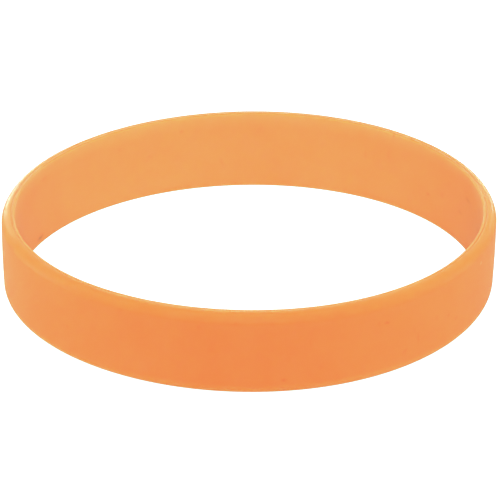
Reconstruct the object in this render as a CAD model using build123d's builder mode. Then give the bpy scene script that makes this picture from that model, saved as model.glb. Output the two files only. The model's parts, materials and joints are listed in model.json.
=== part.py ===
from build123d import *
import os

# A plain silicone wristband: one endless moulded loop with a flat inside and a rounded outside.
# It lies on its side, with the ring's axis along +Z, and rests on its lower rim at z = 0.
# All lengths are in millimetres.

# Size of the loop
inner_diameter = 65.0
wall = 1.9
width = 11.6

# Shape of the section, the same at both rims
inner_edge_radius = 0.2
rim_land = 0.2
mould_line_width = 0.15
mould_line_depth = 0.07
shoulder_height = 1.4
crown = 0.05

# The section starts at the inner wall. Going outwards along a rim come the inner edge's small
# radius, the flat land that the band rests on, the fine mould line, and the long outer shoulder.
inner_radius = inner_diameter / 2
outer_radius = inner_radius + wall
rim = width / 2
land_start = inner_radius + inner_edge_radius
land_end = land_start + rim_land
shoulder_start = land_end + mould_line_width

# The shoulder is a quarter of an ellipse. The outside between both shoulders is slightly crowned.
crown_edge = outer_radius - crown
shoulder_depth = crown_edge - shoulder_start
crown_end = rim - shoulder_height

# The section is drawn about the band's mid-height, so its sketch plane lies half a width up.
middle = Plane.XZ.shift_origin((0, 0, rim))

# Band
with BuildPart() as band:
    with BuildSketch(middle):
        with BuildLine():
            Line((inner_radius, 0), (inner_radius, rim - inner_edge_radius))
            CenterArc((land_start, rim - inner_edge_radius), inner_edge_radius, 90, 90)
            Line((land_start, rim), (land_end, rim))
            SagittaArc((land_end, rim), (shoulder_start, rim), -mould_line_depth)
            EllipticalCenterArc((shoulder_start, crown_end), shoulder_depth, shoulder_height, arc_size=90)
            TangentArc((outer_radius, 0), (crown_edge, crown_end), tangent=(0, 1))
            mirror(about=Plane.XZ)
        make_face()
    revolve(axis=Axis.Z)

band.part.label = "band"

# Files
os.makedirs("parts", exist_ok=True)
export_step(band.part, "parts/band.step")
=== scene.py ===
import bpy
import json
import math
from collections import namedtuple
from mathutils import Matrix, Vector


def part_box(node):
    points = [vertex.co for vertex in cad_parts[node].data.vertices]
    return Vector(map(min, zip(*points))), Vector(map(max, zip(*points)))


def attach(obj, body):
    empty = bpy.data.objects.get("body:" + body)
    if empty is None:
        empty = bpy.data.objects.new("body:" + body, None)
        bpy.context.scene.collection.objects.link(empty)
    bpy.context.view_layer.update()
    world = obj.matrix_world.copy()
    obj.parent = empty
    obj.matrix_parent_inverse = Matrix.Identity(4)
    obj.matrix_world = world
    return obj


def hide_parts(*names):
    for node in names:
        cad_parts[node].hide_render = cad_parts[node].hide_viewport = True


# A plain orange silicone wristband, lying on its side on a pale floor.
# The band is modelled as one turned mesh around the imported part's own sizes.

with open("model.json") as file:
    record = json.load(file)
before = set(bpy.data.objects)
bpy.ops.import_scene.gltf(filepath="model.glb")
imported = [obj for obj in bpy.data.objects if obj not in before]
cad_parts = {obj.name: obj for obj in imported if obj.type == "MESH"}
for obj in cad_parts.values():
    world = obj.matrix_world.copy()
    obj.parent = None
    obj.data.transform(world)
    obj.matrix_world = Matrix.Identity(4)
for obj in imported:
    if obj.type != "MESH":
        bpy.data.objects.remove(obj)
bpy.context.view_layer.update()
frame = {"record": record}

MM = 0.001

# Sizes taken from the frame
band_low, band_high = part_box("band")
bore = next(mount for mount in frame["record"]["mounts"] if mount["name"] == "wrist_bore")
WIDTH = band_high.z - band_low.z
HALF = WIDTH / 2
INNER_RADIUS = bore["dims"]["r_mm"] * MM
MIDDLE = Vector((0, 0, band_low.z + HALF))

# Section of the band, as in the part's source
WALL = 1.9 * MM
INNER_EDGE = 0.2 * MM
RIM_LAND = 0.2 * MM
MOULD_LINE_WIDTH = 0.15 * MM
MOULD_LINE_DEPTH = 0.07 * MM
SHOULDER_HEIGHT = 1.4 * MM
CROWN = 0.05 * MM
OUTER_RADIUS = INNER_RADIUS + WALL

# The soft loop lies a little out of round: lobes, how far out they reach, and the angle of one lobe
OUT_OF_ROUND = (
    (2, 0.21 * MM, math.radians(69)),
    (3, 0.15 * MM, math.radians(60)),
    (4, 0.05 * MM, math.radians(12)),
)

# Its walls lean too, the upper rim outwards and the lower rim inwards by this much
LEAN = (
    (0, 0.07 * MM, 0.0),
    (1, 0.055 * MM, 0.0),
    (3, 0.07 * MM, math.radians(-30)),
)

# Mesh fineness
STEPS_AROUND = 480
WALL_STEPS = 8
EDGE_STEPS = 5
LAND_STEPS = 2
MOULD_LINE_STEPS = 6
SHOULDER_STEPS = 22
CROWN_STEPS = 8

# The photograph's camera. Its picture is square, and its sensor's side is in millimetres.
PHOTO_SIDE = 500
FOCAL_PIXELS = 3000
VIEW_ELEVATION = math.radians(25.13)
VIEW_DISTANCE = 418.7 * MM
AIM_DROP = 1.065 * MM
NEAREST_SEEN = 10 * MM
SENSOR = 36.0
PIXEL_MIDDLE = 0.5


def spread(start, end, steps):
    """Evenly spaced numbers from start to end, without the end."""
    return [start + (end - start) * i / steps for i in range(steps)]


def half_section():
    """The upper half's outline from the inner wall out, as (radius, height above the middle)."""
    edge_centre = (INNER_RADIUS + INNER_EDGE, HALF - INNER_EDGE)
    land_end = INNER_RADIUS + INNER_EDGE + RIM_LAND
    shoulder_start = land_end + MOULD_LINE_WIDTH
    crown_edge = OUTER_RADIUS - CROWN
    shoulder_depth = crown_edge - shoulder_start
    crown_end = HALF - SHOULDER_HEIGHT
    crown_arc = (crown_end ** 2 + CROWN ** 2) / (2 * CROWN)
    outline = [(INNER_RADIUS, z) for z in spread(0, edge_centre[1], WALL_STEPS)]
    for turn in spread(0, math.pi / 2, EDGE_STEPS):
        outline.append((
            edge_centre[0] - INNER_EDGE * math.cos(turn),
            edge_centre[1] + INNER_EDGE * math.sin(turn),
        ))
    outline += [(r, HALF) for r in spread(edge_centre[0], land_end, LAND_STEPS)]
    for share in spread(0, 1, MOULD_LINE_STEPS):
        outline.append((
            land_end + MOULD_LINE_WIDTH * share,
            HALF - MOULD_LINE_DEPTH * math.sin(math.pi * share),
        ))
    for turn in spread(math.pi / 2, 0, SHOULDER_STEPS):
        outline.append((
            shoulder_start + shoulder_depth * math.cos(turn),
            crown_end + SHOULDER_HEIGHT * math.sin(turn),
        ))
    for z in spread(crown_end, 0, CROWN_STEPS):
        outline.append((OUTER_RADIUS - crown_arc + math.sqrt(crown_arc ** 2 - z ** 2), z))
    outline.append((OUTER_RADIUS, 0))
    return outline


def lobed(terms, angle):
    """How far out a wavy round shape lies at an angle."""
    return sum(reach * math.cos(lobes * (angle - towards)) for lobes, reach, towards in terms)


def make_band():
    """The whole loop as one closed mesh: the section carried round the axis."""
    upper = half_section()
    lower = [(r, -z) for r, z in reversed(upper[1:-1])]
    section = upper + lower
    count = len(section)
    vertices = []
    for i in range(STEPS_AROUND):
        angle = 2 * math.pi * i / STEPS_AROUND
        swell = lobed(OUT_OF_ROUND, angle)
        lean = lobed(LEAN, angle)
        for r, z in section:
            reach = r + swell + lean * z / HALF
            vertices.append((reach * math.cos(angle), reach * math.sin(angle), MIDDLE.z + z))
    faces = []
    for i in range(STEPS_AROUND):
        here = i * count
        there = (i + 1) % STEPS_AROUND * count
        for j in range(count):
            k = (j + 1) % count
            faces.append((here + j, here + k, there + k, there + j))
    mesh = bpy.data.meshes.new("silicone_band")
    mesh.from_pydata(vertices, [], faces)
    mesh.shade_smooth()
    band = bpy.data.objects.new("silicone_band", mesh)
    bpy.context.collection.objects.link(band)
    return band


def make_camera():
    """The photograph's camera, aimed a little below the band's middle."""
    camera = bpy.data.objects.new("camera", bpy.data.cameras.new("camera"))
    bpy.context.collection.objects.link(camera)
    back = Vector((0, -math.cos(VIEW_ELEVATION), math.sin(VIEW_ELEVATION)))
    camera.location = MIDDLE + back * VIEW_DISTANCE
    target = MIDDLE - Vector((0, 0, AIM_DROP / math.cos(VIEW_ELEVATION)))
    camera.rotation_mode = "QUATERNION"
    camera.rotation_quaternion = (target - camera.location).to_track_quat("-Z", "Y")
    camera.data.sensor_width = SENSOR
    camera.data.lens = FOCAL_PIXELS / PHOTO_SIDE * SENSOR
    camera.data.clip_start = NEAREST_SEEN
    bpy.context.scene.camera = camera
    return camera


camera = make_camera()
band = make_band()


# Colours of the silicone, with painted light and shade on its inside and rims
OUTSIDE_COLOUR = (0.95, 0.281, 0.090)
# Painted shade: the outside's upper rim a touch deeper and less pale, to offset the gloss that falls
# there
UPPER_RIM_PAINTED_SHADE = (0.95, 0.267, 0.075)
# Painted light: the outside's lowest rim lighter, standing in for light from the floor below
LOWER_RIM_PAINTED_BOUNCE = (0.95, 0.43, 0.13)
# Painted light: the inside wall is lighter and yellower than the outside, standing in for light passing
# through and bouncing inside the loop
INSIDE_PAINTED_LIGHT_COLOUR = (0.95, 0.39, 0.141)
# Painted light: the inside's upper rim lighter still, standing in for light scattering in through the
# rim
INSIDE_RIM_PAINTED_GLOW = (0.95, 0.445, 0.165)
DUST_COLOUR = (0.12, 0.10, 0.05)
PALE_COLOUR = (0.95, 0.55, 0.30)

# Heights above the band's middle between which a wall's colour fades to its rim's: painted light at the
# lower outer rim and the upper inner rim, painted shade at the upper outer rim
UPPER_RIM_SHADE_FADE = (HALF - 1.8 * MM, HALF - 0.5 * MM)
LOWER_RIM_BOUNCE_FADE = (1.6 * MM - HALF, -HALF)
INSIDE_RIM_GLOW_FADE = (HALF - 2.6 * MM, HALF + 0.6 * MM)

# The inside, painted lighter than the outside, begins where the surface turns towards the axis.
# Straight towards it is -1.
PAINTED_INSIDE_LIGHT_FADE = (-0.75, -0.98)

# Faint clouds: their size, the span of the noise that shows, and the shades that it gives
CLOUD_SIZE = 5 * MM
CLOUD_DETAIL = 3.0
CLOUD_SPAN = (0.3, 0.7)
CLOUD_SHADES = (0.987, 1.012)

# Fine relief: the size of each pattern and how high it stands
GRAIN_SIZE = 0.16 * MM
GRAIN_HEIGHT = 0.006 * MM
WAVE_SIZE = 3.5 * MM
WAVE_HEIGHT = 0.03 * MM
DRAWN_SIZE = 0.5 * MM
DRAWN_HEIGHT = 0.004 * MM
DRAWN_SCALE = (1, 1, 0.08)
DUST_HEIGHT = -0.04 * MM

# Gloss, a little uneven with the grain
GRAIN_SPAN = (0.2, 0.8)
ROUGHNESS = (0.38, 0.50)
REFRACTION = 1.41
SPECULAR = 0.09

# How far red, green and blue light spread below the surface
SCATTER_SHARES = (1.0, 0.7, 0.45)
SCATTER_REACH = 1.2 * MM

# Kinds of small flaw in the surface: half the length round the band and half the height
SPECK = (0.40 * MM, 0.42 * MM)
BLUR = (0.65 * MM, 0.70 * MM)
DASH = (0.75 * MM, 0.36 * MM)
STREAK = (0.32 * MM, 1.2 * MM)
SMEAR = (1.6 * MM, 0.55 * MM)

# Every flaw reaches this far in and out from its place, and the noise makes its edge ragged
FLAW_REACH = 0.9 * MM
RAGGED_SIZE = 0.35 * MM
RAGGED_REACH = 0.3 * MM
NOISE_MIDDLE = 0.5

# How dark a flaw is in its middle
FAINT = 0.08
SOFT = 0.12
CLEAR = 0.18
DARK = 0.32
DARKEST = 0.62

# Each flaw's pixel in the photograph, its kind, how far it is tipped in degrees, and how dark it is
Flaw = namedtuple("Flaw", "column row kind tip dark")
INNER_FLAWS = (
    Flaw(181, 131, SPECK, 0, SOFT),
    Flaw(118, 149, SPECK, 0, FAINT),
    Flaw(149, 156, DASH, 35, FAINT),
    Flaw(146, 160, SPECK, 0, FAINT),
    Flaw(221, 161, STREAK, -20, FAINT),
    Flaw(42, 178, SMEAR, 0, FAINT),
    Flaw(39, 237, SMEAR, 0, DARK),
    Flaw(392, 136, SPECK, 0, DARK),
    Flaw(364, 154, STREAK, 0, SOFT),
    Flaw(387, 155, STREAK, 0, FAINT),
    Flaw(427, 194, DASH, 5, CLEAR),
    Flaw(441, 195, BLUR, 20, FAINT),
    Flaw(468, 200, SMEAR, 0, SOFT),
    Flaw(460, 212, SMEAR, 0, FAINT),
)
OUTER_FLAWS = (
    Flaw(67, 326, SPECK, 0, SOFT),
    Flaw(119, 310, BLUR, 15, FAINT),
    Flaw(198, 326, SPECK, 0, SOFT),
    Flaw(235, 323, SPECK, 0, FAINT),
    Flaw(211, 349, BLUR, 0, FAINT),
    Flaw(272, 324, DASH, 50, FAINT),
    Flaw(310, 342, STREAK, 0, FAINT),
    Flaw(283, 379, DASH, 0, DARK),
    Flaw(320, 366, BLUR, 0, FAINT),
    Flaw(378, 323, SPECK, 0, SOFT),
    Flaw(386, 322, DASH, 0, DARK),
    Flaw(414, 329, STREAK, -15, FAINT),
    Flaw(418, 337, STREAK, -5, CLEAR),
    Flaw(405, 350, DASH, -30, CLEAR),
    Flaw(437, 317, BLUR, 0, FAINT),
    Flaw(449, 315, SPECK, 0, CLEAR),
    Flaw(457, 318, DASH, 0, CLEAR),
    Flaw(475, 292, STREAK, 0, FAINT),
)
PALE_FLAWS = (
    Flaw(482, 263, SPECK, 0, DARKEST),
)

# The side of the band that a line of sight meets first, and the side behind it
NEAR = -1
FAR = 1

# The Mix node's sockets for colours
MIX_SHARE = 0
MIX_FIRST = 6
MIX_SECOND = 7
MIX_RESULT = 2


class Graph:
    """Short ways to add nodes to one material and to join them."""

    def __init__(self, material):
        self.tree = material.node_tree

    def put(self, value, socket):
        if isinstance(value, bpy.types.NodeSocket):
            self.tree.links.new(value, socket)
        else:
            socket.default_value = value

    def node(self, kind, inputs, **settings):
        node = self.tree.nodes.new(kind)
        for name, value in settings.items():
            setattr(node, name, value)
        for name, value in inputs.items():
            self.put(value, node.inputs[name])
        return node

    def math(self, operation, *values):
        return self.node("ShaderNodeMath", dict(enumerate(values)), operation=operation).outputs[0]

    def vector(self, operation, *values, **named):
        inputs = {**dict(enumerate(values)), **named}
        return self.node("ShaderNodeVectorMath", inputs, operation=operation).outputs

    def fade(self, value, start, end, low=0.0, high=1.0):
        inputs = {"Value": value, "From Min": start, "From Max": end, "To Min": low, "To Max": high}
        node = self.node("ShaderNodeMapRange", inputs, interpolation_type="SMOOTHSTEP")
        return node.outputs["Result"]

    def mix(self, share, first, second):
        first, second = (c if isinstance(c, bpy.types.NodeSocket) else (*c, 1) for c in (first, second))
        inputs = {MIX_SHARE: share, MIX_FIRST: first, MIX_SECOND: second}
        return self.node("ShaderNodeMix", inputs, data_type="RGBA").outputs[MIX_RESULT]

    def noise(self, place, size, detail=2.0):
        inputs = {"Vector": place, "Scale": 1 / size, "Detail": detail}
        return self.node("ShaderNodeTexNoise", inputs).outputs


def wall_point(flaw, radius, side):
    """Where the line of sight through a flaw's pixel meets the near or the far side of a wall."""
    across = (flaw.column + PIXEL_MIDDLE - PHOTO_SIDE / 2) / FOCAL_PIXELS
    down = (flaw.row + PIXEL_MIDDLE - PHOTO_SIDE / 2) / FOCAL_PIXELS
    sight = camera.rotation_quaternion @ Vector((across, -down, -1))
    start = camera.location - MIDDLE
    steep = sight.xy.dot(sight.xy)
    along = sight.xy.dot(start.xy)
    spare = along ** 2 - steep * (start.xy.dot(start.xy) - radius ** 2)
    distance = (side * math.sqrt(spare) - along) / steep
    return camera.location + sight * distance


def add_flaws(graph, place, flaws, radius, side):
    """How dark the charted flaws make each point: a soft oval for each, added up."""
    total = 0.0
    for flaw in flaws:
        point = wall_point(flaw, radius, side)
        around = math.atan2(point.y, point.x)
        inputs = {
            "Vector": place,
            "Location": point,
            "Rotation": (side * math.radians(flaw.tip), 0, around),
            "Scale": (FLAW_REACH, *flaw.kind),
        }
        oval = graph.node("ShaderNodeMapping", inputs, vector_type="TEXTURE").outputs[0]
        distance = graph.vector("LENGTH", oval)["Value"]
        total = graph.math("ADD", total, graph.fade(distance, 1.0, 0.0, 0.0, flaw.dark))
    return total


def chart_flaws(graph, place):
    """The dark flaws of both walls together, and the pale ones."""
    ragged = graph.vector("SUBTRACT", graph.noise(place, RAGGED_SIZE)["Color"], (NOISE_MIDDLE,) * 3)[0]
    wobbled = graph.vector("MULTIPLY_ADD", ragged, (RAGGED_REACH,) * 3, place)[0]
    inner = add_flaws(graph, wobbled, INNER_FLAWS, INNER_RADIUS, FAR)
    outer = add_flaws(graph, wobbled, OUTER_FLAWS, OUTER_RADIUS, NEAR)
    pale = add_flaws(graph, wobbled, PALE_FLAWS, OUTER_RADIUS, NEAR)
    return graph.math("ADD", inner, outer), pale


def wall_colour_with_painted_light(graph, place, normal):
    """The silicone's colour with painted light and shade, by which way the surface faces and how high
    it lies: the inside, its upper rim and the outside's lower rim lighter, the outside's upper rim
    deeper.
    """
    axes = graph.node("ShaderNodeSeparateXYZ", {"Vector": place}).outputs
    flat = graph.node("ShaderNodeCombineXYZ", {"X": axes["X"], "Y": axes["Y"]}).outputs[0]
    outwards = graph.vector("NORMALIZE", flat)[0]
    facing = graph.vector("DOT_PRODUCT", outwards, normal)["Value"]
    height_up = graph.math("SUBTRACT", axes["Z"], MIDDLE.z)
    # Painted light: the inside lightens towards its upper rim
    inner = graph.mix(graph.fade(height_up, *INSIDE_RIM_GLOW_FADE), INSIDE_PAINTED_LIGHT_COLOUR, INSIDE_RIM_PAINTED_GLOW)
    # Painted light: the outside lightens towards its lower rim
    outer = graph.mix(graph.fade(height_up, *LOWER_RIM_BOUNCE_FADE), OUTSIDE_COLOUR, LOWER_RIM_PAINTED_BOUNCE)
    # Painted shade: the outside deepens towards its upper rim
    outer = graph.mix(graph.fade(height_up, *UPPER_RIM_SHADE_FADE), outer, UPPER_RIM_PAINTED_SHADE)
    # Painted light: where the surface faces the axis it takes the lighter inside colour
    return graph.mix(graph.fade(facing, *PAINTED_INSIDE_LIGHT_FADE), outer, inner)


def relief(graph, place, grain, dust):
    """The bump: grain, long soft waves, fine upright lines, and a shallow pit for each dark flaw."""
    waves = graph.noise(place, WAVE_SIZE)["Fac"]
    stretched = graph.node("ShaderNodeMapping", {"Vector": place, "Scale": DRAWN_SCALE}).outputs[0]
    drawn = graph.noise(stretched, DRAWN_SIZE)["Fac"]
    height = graph.math("MULTIPLY", grain, GRAIN_HEIGHT)
    height = graph.math("MULTIPLY_ADD", waves, WAVE_HEIGHT, height)
    height = graph.math("MULTIPLY_ADD", drawn, DRAWN_HEIGHT, height)
    height = graph.math("MULTIPLY_ADD", dust, DUST_HEIGHT, height)
    return graph.node("ShaderNodeBump", {"Height": height, "Distance": 1.0, "Strength": 1.0}).outputs[0]


def silicone():
    """Matte, translucent silicone, faintly cloudy and grained, with the charted flaws and painted light
    and shade on its inside and rims.
    """
    material = bpy.data.materials.new("orange_silicone")
    material.use_nodes = True
    graph = Graph(material)
    shader = material.node_tree.nodes["Principled BSDF"]
    coordinates = graph.node("ShaderNodeTexCoord", {}).outputs
    place = coordinates["Object"]
    dust, pale = chart_flaws(graph, place)
    cloud = graph.noise(place, CLOUD_SIZE, CLOUD_DETAIL)["Fac"]
    shade = graph.fade(cloud, *CLOUD_SPAN, *CLOUD_SHADES)
    colour = graph.vector("SCALE", wall_colour_with_painted_light(graph, place, coordinates["Normal"]), Scale=shade)[0]
    colour = graph.mix(dust, colour, DUST_COLOUR)
    colour = graph.mix(pale, colour, PALE_COLOUR)
    grain = graph.noise(place, GRAIN_SIZE)["Fac"]
    graph.put(colour, shader.inputs["Base Color"])
    graph.put(relief(graph, place, grain, dust), shader.inputs["Normal"])
    graph.put(graph.fade(grain, *GRAIN_SPAN, *ROUGHNESS), shader.inputs["Roughness"])
    shader.inputs["IOR"].default_value = REFRACTION
    shader.inputs["Specular IOR Level"].default_value = SPECULAR
    shader.inputs["Subsurface Weight"].default_value = 1.0
    shader.inputs["Subsurface Radius"].default_value = SCATTER_SHARES
    shader.inputs["Subsurface Scale"].default_value = SCATTER_REACH
    return material


band.data.materials.append(silicone())
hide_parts("band")
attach(band, "root")


# The photograph's film, as (scene light, picture light). Bright red rolls off well before white, and
# low green and blue come out a little darker.
FILM_RED = (
    (0.55, 0.55),
    (0.65, 0.69),
    (0.75, 0.81),
    (0.85, 0.863),
    (1.0, 0.872),
    (1.25, 0.878),
    (1.4, 0.888),
    (1.5, 0.915),
    (1.65, 0.955),
    (1.85, 1.0),
)
FILM_OTHERS = (
    (0.1, 0.089),
    (0.3, 0.283),
    (0.5, 0.5),
    (1.0, 1.0),
)

# Floor: metres from its middle to each edge, its own grey, and how far past the film's white it glows
FLOOR_REACH = 4.0
FLOOR_GREY = 0.4
FLOOR_ROUGHNESS = 0.9
FLOOR_MARGIN = 1.01

# Brightness of the studio by height, as shares of its strength. Straight down is 0, the horizon is
# 0.5 and straight up is 1.
STUDIO_STRENGTH = 1.2
STUDIO = (
    (0.0, 0.48),
    (0.475, 0.46),
    (0.52, 0.22),
    (0.62, 0.26),
    (1.0, 0.9),
)

# Soft lamps, in metres and watts
Lamp = namedtuple("Lamp", "name place width height power")
LAMPS = (
    Lamp("front", (0, -0.43, 0.24), 0.3, 0.3, 1.45),
    Lamp("front_right", (0.25, -0.35, 0.24), 0.2, 0.2, 0.27),
    Lamp("back", (0, 0.44, 0.24), 0.2, 0.12, 1.0),
    Lamp("back_left", (-0.19, 0.44, 0.03), 0.14, 0.10, 0.85),
    Lamp("back_right", (0.19, 0.44, 0.03), 0.14, 0.10, 0.42),
    Lamp("side_left", (-0.36, 0, 0.2), 0.12, 0.12, 0.2),
    Lamp("side_right", (0.36, 0, 0.2), 0.12, 0.12, 0.2),
    Lamp("low_left", (-0.4, 0.06, 0.008), 0.2, 0.016, 0.68),
    Lamp("low_right", (0.4, 0.06, 0.008), 0.2, 0.016, 0.42),
)


def make_floor():
    """A glowing white sheet for the camera alone. The studio's lower half lights the band for it."""
    mesh = bpy.data.meshes.new("floor")
    corners = [(x * FLOOR_REACH, y * FLOOR_REACH, 0) for x, y in ((-1, -1), (1, -1), (1, 1), (-1, 1))]
    mesh.from_pydata(corners, [], [(0, 1, 2, 3)])
    floor = bpy.data.objects.new("floor", mesh)
    bpy.context.collection.objects.link(floor)
    floor.visible_diffuse = False
    floor.visible_glossy = False
    floor.visible_transmission = False
    material = bpy.data.materials.new("pale_floor")
    material.use_nodes = True
    shader = material.node_tree.nodes["Principled BSDF"]
    shader.inputs["Base Color"].default_value = (FLOOR_GREY, FLOOR_GREY, FLOOR_GREY, 1)
    shader.inputs["Roughness"].default_value = FLOOR_ROUGHNESS
    shader.inputs["Specular IOR Level"].default_value = 0.0
    white = (FILM_RED[-1][0], FILM_OTHERS[-1][0], FILM_OTHERS[-1][0])
    shader.inputs["Emission Color"].default_value = (*(part / max(white) for part in white), 1)
    shader.inputs["Emission Strength"].default_value = max(white) * FLOOR_MARGIN
    mesh.materials.append(material)
    return floor


def make_studio():
    """The world's pale light, which changes with height alone."""
    world = bpy.data.worlds.new("studio")
    world.use_nodes = True
    tree = world.node_tree
    background = tree.nodes["Background"]
    background.inputs["Strength"].default_value = STUDIO_STRENGTH
    direction = tree.nodes.new("ShaderNodeTexCoord").outputs["Generated"]
    axes = tree.nodes.new("ShaderNodeSeparateXYZ")
    tree.links.new(direction, axes.inputs[0])
    height = tree.nodes.new("ShaderNodeMapRange")
    height.inputs["From Min"].default_value = -1
    tree.links.new(axes.outputs["Z"], height.inputs["Value"])
    ramp = tree.nodes.new("ShaderNodeValToRGB")
    tree.links.new(height.outputs[0], ramp.inputs[0])
    steps = ramp.color_ramp.elements
    for step, (place, glow) in zip((steps[0], steps[1]), (STUDIO[0], STUDIO[-1])):
        step.position = place
        step.color = (glow, glow, glow, 1)
    for place, glow in STUDIO[1:-1]:
        steps.new(place).color = (glow, glow, glow, 1)
    tree.links.new(ramp.outputs[0], background.inputs["Color"])
    bpy.context.scene.world = world


def make_lamp(lamp):
    """A round or oval soft lamp aimed at the middle of the band."""
    data = bpy.data.lights.new(lamp.name, "AREA")
    data.shape = "ELLIPSE"
    data.size = lamp.width
    data.size_y = lamp.height
    data.energy = lamp.power
    light = bpy.data.objects.new(lamp.name, data)
    light.location = lamp.place
    light.rotation_mode = "QUATERNION"
    light.rotation_quaternion = (MIDDLE - light.location).to_track_quat("-Z", "Y")
    light.visible_camera = False
    bpy.context.collection.objects.link(light)


def bend(curve, points):
    """Give one channel's curve its points. The last is where it turns white."""
    curve.points[1].location = points[-1]
    for point in points[:-1]:
        curve.points.new(*point)


def set_film():
    """Give the view the photograph's film, for red, green and blue in turn."""
    view = bpy.context.scene.view_settings
    view.view_transform = "Standard"
    view.use_curve_mapping = True
    mapping = view.curve_mapping
    mapping.use_clip = False
    for curve, points in zip(mapping.curves, (FILM_RED, FILM_OTHERS, FILM_OTHERS)):
        bend(curve, points)
    mapping.update()


make_floor()
make_studio()
for lamp in LAMPS:
    make_lamp(lamp)
set_film()
